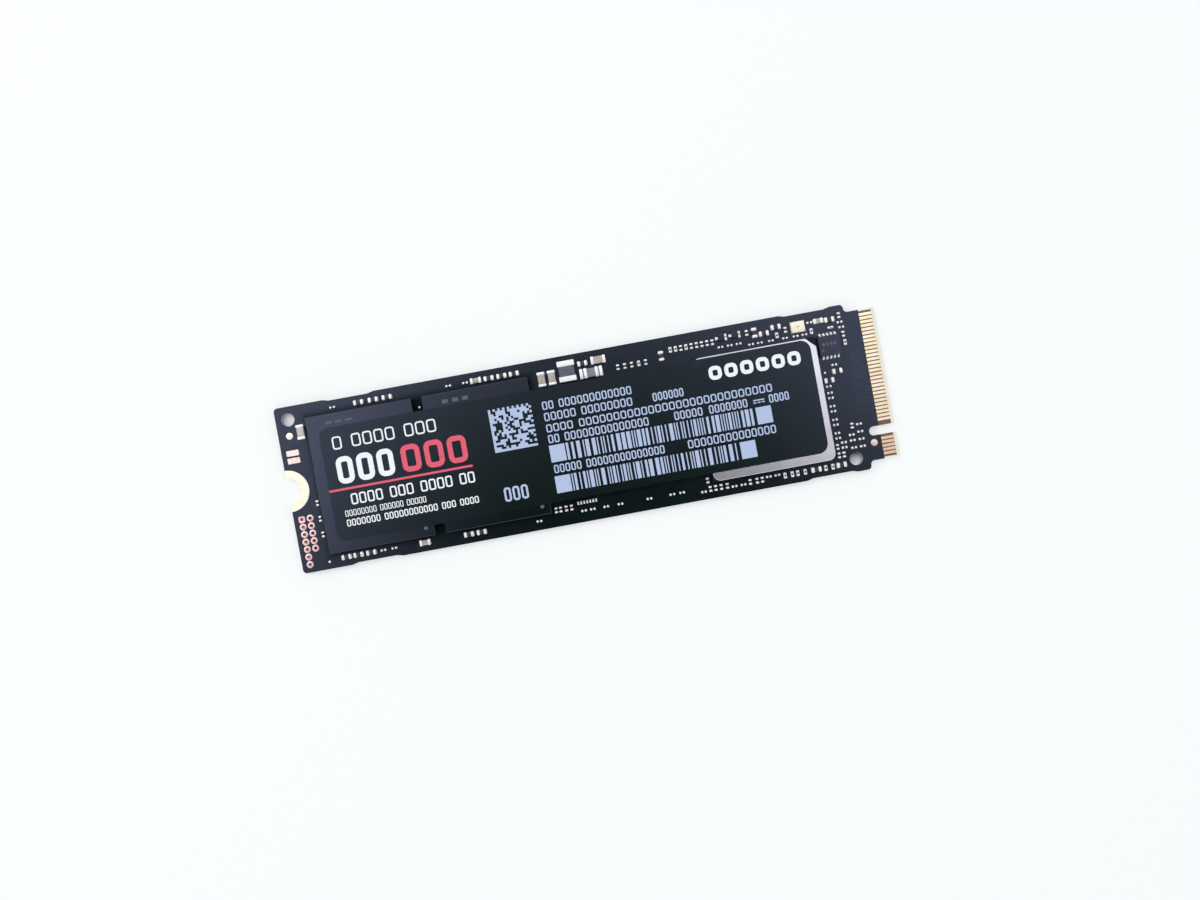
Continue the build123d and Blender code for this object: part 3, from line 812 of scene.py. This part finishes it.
band_share = 0.44
for bodies, ends, rounding, finish, slot in (
    ("capacitor_bodies", "capacitor_ends", 0.09, beige_finish, "brown_ceramic"),
    ("inductor_cores", "inductor_terminals", 0.12, ferrite_finish, "ferrite"),
):
    cores = []
    for low, high, corners in solids_of(bodies):
        core = block(low, high)
        break_edges(core, rounding * MM, 3, lambda a, b: True)
        cores.append(core)
    settle(unite(cores), bodies + "_fired", finish, slot, bodies)
    dipped = []
    for low, high, corners in solids_of(ends):
        bands = [(low, high)]
        if finish == ferrite_finish and high.x - low.x < high.y - low.y:
            band = (high.x - low.x) * band_share
            bands = [(low, (low.x + band, *high.yz)), ((high.x - band, *low.yz), high)]
        for band_low, band_high in bands:
            cap = block(band_low, band_high)
            break_edges(cap, rounding * MM, 3, above(low.z))
            dipped.append(cap)
    settle(unite(dipped), ends + "_dipped", tin_finish, "tin", ends)

# Legged circuits: two transistors, a supervisor and a regulator, each a die moulded in resin on a
# stamped copper frame, whose legs are trimmed, formed, tinned and soldered down.

moulded("small_case_resin", 0.76, "transistor_bodies", "supervisor_body", "regulator_body")
coat(tin_finish, "transistor_leads", "supervisor_leads", "regulator_leads")
low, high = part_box("supervisor_body")
legend_length, legend_width, legend_corner = 0.32 * MM, 0.42 * MM, 0.08 * MM
legend_first = Vector((low.x + 0.66 * MM, high.y - 1.14 * MM, high.z))
legend_pitch = Vector((0.5, 0, 0)) * MM
legend_dot, legend_dot_radius = Vector((low.x + 0.45 * MM, low.y + 0.75 * MM, high.z)), 0.16 * MM
legend = [
    burnt_dash(legend_first + legend_pitch * column, legend_length, legend_width, legend_corner)
    for column in range(4)
]
legend.append(burnt_dot(legend_dot, legend_dot_radius, 20))
settle(unite(legend), "supervisor_marks", burnt_finish, "mould_compound")

# Timing crystal: a quartz blank in a fired ceramic tray, closed by a thin lid that is flashed with
# gold and welded to the tray round its rim.

tray_pale, tray_cream = paint(232, 226, 206), paint(206, 198, 174)
tray_finish, tray_shader, place = new_finish("tray_ceramic", IOR=1.6)
place.noise(0.12, 2.0).step(0.3, 0.7).mix(tray_pale, tray_cream).feed(tray_shader, "Base Color")
(0.5 + place.noise(0.06) * 0.2).feed(tray_shader, "Roughness")
coat(tray_finish, "crystal_base")

low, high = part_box("crystal_lid")
rim_top, rim_width, rim_corner, crown_rounding = (low.z + high.z) / 2, 0.16 * MM, 0.24 * MM, 0.04 * MM
weld_white, dimple_brown = paint(255, 253, 242), paint(182, 172, 128)
lid_bright, lid_straw = paint(250, 245, 224), paint(232, 224, 196)
lid_gold_finish, lid_gold_shader, place = new_finish("crystal_lid_gold", Metallic=0.85)
bloom = place.noise(0.5, 3.0)
raised = place.axis(2).step(rim_top / MM, high.z / MM - 0.01)
lid_middle = (low + high) / 2 / MM
dimple = 1 - squared_distance(place, lid_middle.x, lid_middle.y).step(0.004, 0.02)
lid_colour = raised.mix(weld_white, bloom.step(0.35, 0.75).mix(lid_bright, lid_straw))
dimple.mix(lid_colour, dimple_brown).feed(lid_gold_shader, "Base Color")
(0.34 + bloom * 0.2).feed(lid_gold_shader, "Roughness")
raise_grain(place.noise(0.08), lid_gold_shader, 0.004)
lid = block(low, (high.x, high.y, rim_top))
break_edges(lid, rim_corner, 4, standing)
pick_faces(lid, lambda normal: normal.z > 0.9)
bpy.ops.mesh.inset(thickness=rim_width)
bpy.ops.mesh.extrude_region_move(TRANSFORM_OT_translate={"value": (0, 0, high.z - rim_top)})
done()
break_edges(lid, crown_rounding, 2, upper(high.z))
settle(lid, "crystal_welded_lid", lid_gold_finish, "pale_gold", "crystal_lid")

# Label: matt black film with its own adhesive, die cut with round corners and laid across the tops of
# the packages, so that it dips a little where nothing carries it.

label_low, label_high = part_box("label")
film_thickness, film_corner = 0.06 * MM, 1.3 * MM
film_top = label_low.z + film_thickness
film_dark, film_grey = paint(10, 22, 16), paint(14, 26, 20)
film_finish, film_shader, place = new_finish(
    "label_film", IOR=1.5, Specular_IOR_Level=0.56, Specular_Tint=blue_sheen
)
haze = place.noise(4.0, 3.0)
tooth = place.noise(0.07, 2.0)
(haze * 0.7 + tooth * 0.3).step(0.3, 0.75).mix(film_dark, film_grey).feed(film_shader, "Base Color")
(0.17 + tooth * 0.06).feed(film_shader, "Roughness")
raise_grain(tooth, film_shader, 0.0006)

narrow_dip, broad_dip = 0.003 * MM, 0.05 * MM
film_spans = [
    (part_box("flash_package_near")[1].x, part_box("flash_package_far")[0].x, narrow_dip),
    (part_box("flash_package_far")[1].x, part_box("controller_lid")[0].x, broad_dip),
]
cuts_in_span = 10


def film_dip(x):
    """How far the film hangs below its packages at that place along the board."""
    return sum(
        depth * math.sin(math.pi * (x - left) / (right - left))
        for left, right, depth in film_spans if left < x < right
    )


def hang(piece):
    """Cuts a piece across each span that nothing carries, and lets it dip there."""
    bpy.ops.object.mode_set(mode="EDIT")
    for left, right, depth in film_spans:
        for cut in range(cuts_in_span + 1):
            bpy.ops.mesh.select_all(action="SELECT")
            bpy.ops.mesh.bisect(
                plane_co=(left + (right - left) * cut / cuts_in_span, 0, 0),
                plane_no=(1, 0, 0), threshold=tolerance,
            )
    bpy.ops.object.mode_set(mode="OBJECT")
    for vertex in piece.data.vertices:
        vertex.co.z -= film_dip(vertex.co.x)


film = block(label_low, (label_high.x, label_high.y, film_top))
break_edges(film, film_corner, 10, standing)
hang(film)
settle(film, "label_film", film_finish, "label_film", "label")

# Printing on the label: frames, bars, stripes and squares of thermal-transfer ink in white, pale blue
# and red, each flat a hundredth of a millimetre thick, melted on to the film and dipping with it.

ink_thickness, ink_sunk = 0.01 * MM, 0.001 * MM
ink_finishes = {}
for ink, fresh, worn in (
    ("white", paint(243, 249, 252), paint(236, 243, 249)),
    ("pale", paint(182, 199, 231), paint(170, 188, 224)),
    ("red", paint(230, 92, 116), paint(220, 82, 108)),
):
    finish, shader, place = new_finish("ink_" + ink, IOR=1.45)
    place.noise(0.12, 2.0).step(0.3, 0.72).mix(fresh, worn).feed(shader, "Base Color")
    (0.45 + place.noise(0.06) * 0.15).feed(shader, "Roughness")
    ink_finishes[ink] = finish


def ink_flat(width, height, rounding, stroke=0.0):
    """A flat of ink in millimetres, with round corners, or a frame of that stroke."""
    piece = block((0, 0, 0), (width * MM, height * MM, ink_thickness))
    if rounding:
        break_edges(piece, rounding * MM, 3 if rounding < 0.4 else 7, standing)
    pick_faces(piece, lambda normal: normal.z < -0.9)
    bpy.ops.mesh.delete(type="FACE")
    if stroke:
        bpy.ops.object.mode_set(mode="OBJECT")
        pick_faces(piece, lambda normal: normal.z > 0.9)
        bpy.ops.mesh.inset(thickness=stroke * MM)
        bpy.ops.mesh.extrude_region_move(TRANSFORM_OT_translate={"value": (0, 0, -ink_thickness)})
        bpy.ops.mesh.delete(type="FACE")
    done()
    return piece


def on_label(left, bottom):
    """Where the lower left corner of a flat lies, from the label's left and top edges in millimetres."""
    return Matrix.Translation(
        (label_low.x + left * MM, label_high.y - bottom * MM, film_top - ink_sunk)
    )


def bars(boxes):
    """Square flats, each given by its left, top, right and bottom."""
    return repeat(ink_flat(1, 1, 0), [
        on_label(left, bottom) @ Matrix.Diagonal((right - left, bottom - top, 1, 1))
        for left, top, right, bottom in boxes
    ])


def line_of_frames(left, top, right, bottom, words, stroke):
    """A line of small frames between those edges on the label, in words of so many frames."""
    word_gap, frame_share = 0.7, 0.82
    pitch = (right - left) / (sum(words) + word_gap * (len(words) - 1) - (1 - frame_share))
    placings = []
    at = left
    for word in words:
        for index in range(word):
            placings.append(on_label(at, bottom))
            at += pitch
        at += word_gap * pitch
    rounding = max(pitch * 0.24, stroke * 1.3)
    return repeat(ink_flat(pitch * frame_share, bottom - top, rounding, stroke), placings)


def print_ink(name, ink, flats):
    """Prints flats of ink as one piece that follows the film's dips."""
    piece = unite(flats)
    hang(piece)
    settle(piece, name, ink_finishes[ink], "label_film")


title_left, title_right = 1.54, 18.92
model_top, model_bottom, model_stroke = 4.0, 7.55, 0.68
print_ink("label_title", "white", [
    line_of_frames(title_left, 1.3, 15.17, 3.0, (1, 4, 3), 0.2),
    line_of_frames(2.63, 8.95, title_right, 10.4, (4, 3, 4, 2), 0.2),
    line_of_frames(title_left, 11.0, 12.2, 11.8, (8, 6, 5), 0.1),
    line_of_frames(title_left, 12.2, title_right, 13.1, (7, 11, 3, 4), 0.14),
    line_of_frames(1.5, model_top, 9.0, model_bottom, (3,), model_stroke),
    line_of_frames(51.2, 1.2, 63.3, 3.0, (6,), 0.52),
])
print_ink("label_red", "red", [
    line_of_frames(10.0, model_top, 18.6, model_bottom, (3,), model_stroke),
    bars([(0.02, 8.07, title_right, 8.36)]),
])

details_left, details_stroke = 29.18, 0.17
details = (
    (details_left, 1.75, 40.93, 2.83, (2, 12)),
    (details_left, 3.23, 40.78, 4.32, (5, 8)),
    (43.49, 3.23, 47.54, 4.32, (6,)),
    (details_left, 4.76, 58.94, 5.8, (4, 28)),
    (details_left, 6.14, 42.41, 7.23, (2, 14)),
    (45.81, 6.14, 49.52, 7.23, (5,)),
    (50.4, 6.14, 55.44, 7.23, (7,)),
    (58.3, 6.14, 60.92, 7.23, (4,)),
    (29.23, 10.09, 43.79, 11.18, (5, 14)),
    (46.9, 10.09, 58.5, 11.18, (14,)),
)
rule_left, rule_right, rule_top, dash_top = 56.23, 57.71, 6.5, 6.82
rule_thickness, dash_length, dash_pitch = 0.16, 0.37, 0.56
rules = [(rule_left, rule_top, rule_right, rule_top + rule_thickness)]
for index in range(3):
    start = rule_left + dash_pitch * index
    rules.append((start, dash_top, start + dash_length, dash_top + rule_thickness))
print_ink("label_details", "pale", [
    line_of_frames(22.27, 11.82, 25.43, 13.69, (3,), 0.28),
    *[line_of_frames(*line, details_stroke) for line in details],
    bars(rules),
])

dice = random.Random(11)
module, end_square, ink_spread = 0.17, 2.02, 0.95
flats = []
for left, right, top, bottom in ((29.08, 58.35, 7.52, 9.74), (29.08, 55.54, 11.57, 13.79)):
    flats += [(left, top, left + end_square, bottom), (right - end_square, top, right, bottom)]
    at = left + end_square + module
    while at < right - end_square - 2 * module:
        wide = min(dice.choice((1, 1, 1, 2, 3)) * module, right - end_square - module - at)
        flats.append((at, top, at + wide * ink_spread, bottom))
        at += wide + dice.choice((1, 1, 1, 2, 2)) * module
cells, filled_share = 18, 0.52
code_left, code_right, code_top = 22.12, 27.75, 1.55
cell = (code_right - code_left) / cells
for row in range(cells):
    filled = [
        column == 0 or row == cells - 1 or dice.random() < filled_share for column in range(cells)
    ]
    if row == 0:
        filled = [column % 2 == 0 for column in range(cells)]
    filled[cells - 1] = row % 2 == 1
    column = 0
    while column < cells:
        run = 0
        while column + run < cells and filled[column + run]:
            run += 1
        if run:
            left, top = code_left + column * cell, code_top + row * cell
            flats.append((left, top, left + run * cell, top + cell))
        column += run + 1
print_ink("label_codes", "pale", [bars(flats)])

# Stage: a white paper sheet, shaded at the foot of the two tooling holes, under an open sky with soft
# glows overhead and a broad lamp high on the left. The camera stands straight above.

sheet_size, sheet_drop = 3, 0.02 * MM
sheet_white, sheet_cool, hole_dark = paint(251, 254, 255), paint(249, 253, 254), paint(20, 24, 30)
glow_share = 0.5
deselect()
bpy.ops.mesh.primitive_plane_add(size=sheet_size, location=(0, 0, -sheet_drop))
sheet = bpy.context.object
sheet.name = "white_sheet"
sheet_finish, sheet_shader, place = new_finish("white_sheet", Roughness=0.9)
white = place.noise(900, 2.0).step(0.2, 0.8).mix(sheet_white, sheet_cool)
hole_dimness, hole_slopes = (0.02, 0.42), (0.05, 0.55)
hole_foot, shade = 0.0, 0.0
for (x, y), dimness, slope in zip(hole_spots, hole_dimness, hole_slopes):
    foot = 1 - squared_distance(place, x, y).step(0.8, 1.1)
    hole_foot = hole_foot + foot
    shade = shade + foot * (dimness + (place.axis(1) - y) * slope)
shade.mix(white, hole_dark).feed(sheet_shader, "Base Color")
glow = place.node("ShaderNodeEmission", {}, {"Color": sheet_white, "Strength": 1.0})
seen = place.node("ShaderNodeLightPath", output="Is Camera Ray")
mirrored = place.node("ShaderNodeLightPath", output="Is Glossy Ray")
blend(sheet_finish, seen.at_least(mirrored) * (1 - hole_foot) * glow_share, sheet_shader, glow)
sheet.data.materials.append(sheet_finish)

world = bpy.data.worlds.new("soft_room")
bpy.context.scene.world = world
world.use_nodes = True
backdrop = world.node_tree.nodes["Background"]
sky = Wire(world.node_tree, world.node_tree.nodes.new("ShaderNodeTexCoord").outputs["Generated"])
left_strength, right_strength, far_strength, side_strength = 1.8, 1.75, 0.48, 0.82
height = sky.axis(2).at_least(0.05)
along, across = sky.axis(0) / height, sky.axis(1) / height
leaning = across * 0.83
left_glow = (leaning - along).step(0.08, 0.44) * left_strength
right_glow = (leaning + along).step(0.1, 0.43) * right_strength
far_glow = across.step(-0.03, 0.09) * (1 - abs(along - 0.03).step(0.08, 0.2)) * far_strength
roof = height.step(0.8, 0.92)
level = roof * (left_glow + right_glow + far_glow) + (1 - roof) * side_strength
seen = sky.node("ShaderNodeLightPath", output="Is Camera Ray")
(seen + (1 - seen) * level).feed(backdrop, "Strength")
backdrop.inputs["Color"].default_value = (1, 1, 1, 1)

lamp_data = bpy.data.lights.new("broad_lamp", "AREA")
lamp_data.shape = "RECTANGLE"
lamp_data.size, lamp_data.size_y = 0.35, 0.35
lamp_data.energy = 0.68
lamp = bpy.data.objects.new("broad_lamp", lamp_data)
bpy.context.scene.collection.objects.link(lamp)
lamp.location = (-0.32, 0.26, 0.42)
lamp.rotation_euler = (-lamp.location).to_track_quat("-Z", "Y").to_euler()

card_tip, card_lean, card_turn = 0.368, 0.181, 10.455
camera_place = Vector((1.59, -1.8, 112.5)) * MM
turn = (
    Matrix.Rotation(math.radians(card_tip), 3, "X")
    @ Matrix.Rotation(math.radians(card_lean), 3, "Y")
    @ Matrix.Rotation(math.radians(card_turn), 3, "Z")
).transposed()
camera_data = bpy.data.cameras.new("camera")
camera_data.sensor_width = 36.0
camera_data.lens = 25.5
camera_data.clip_start = 0.01
camera = bpy.data.objects.new("camera", camera_data)
bpy.context.scene.collection.objects.link(camera)
camera.matrix_world = Matrix.Translation(turn @ camera_place) @ turn.to_4x4()
bpy.context.scene.camera = camera
bpy.context.scene.view_settings.view_transform = "Standard"
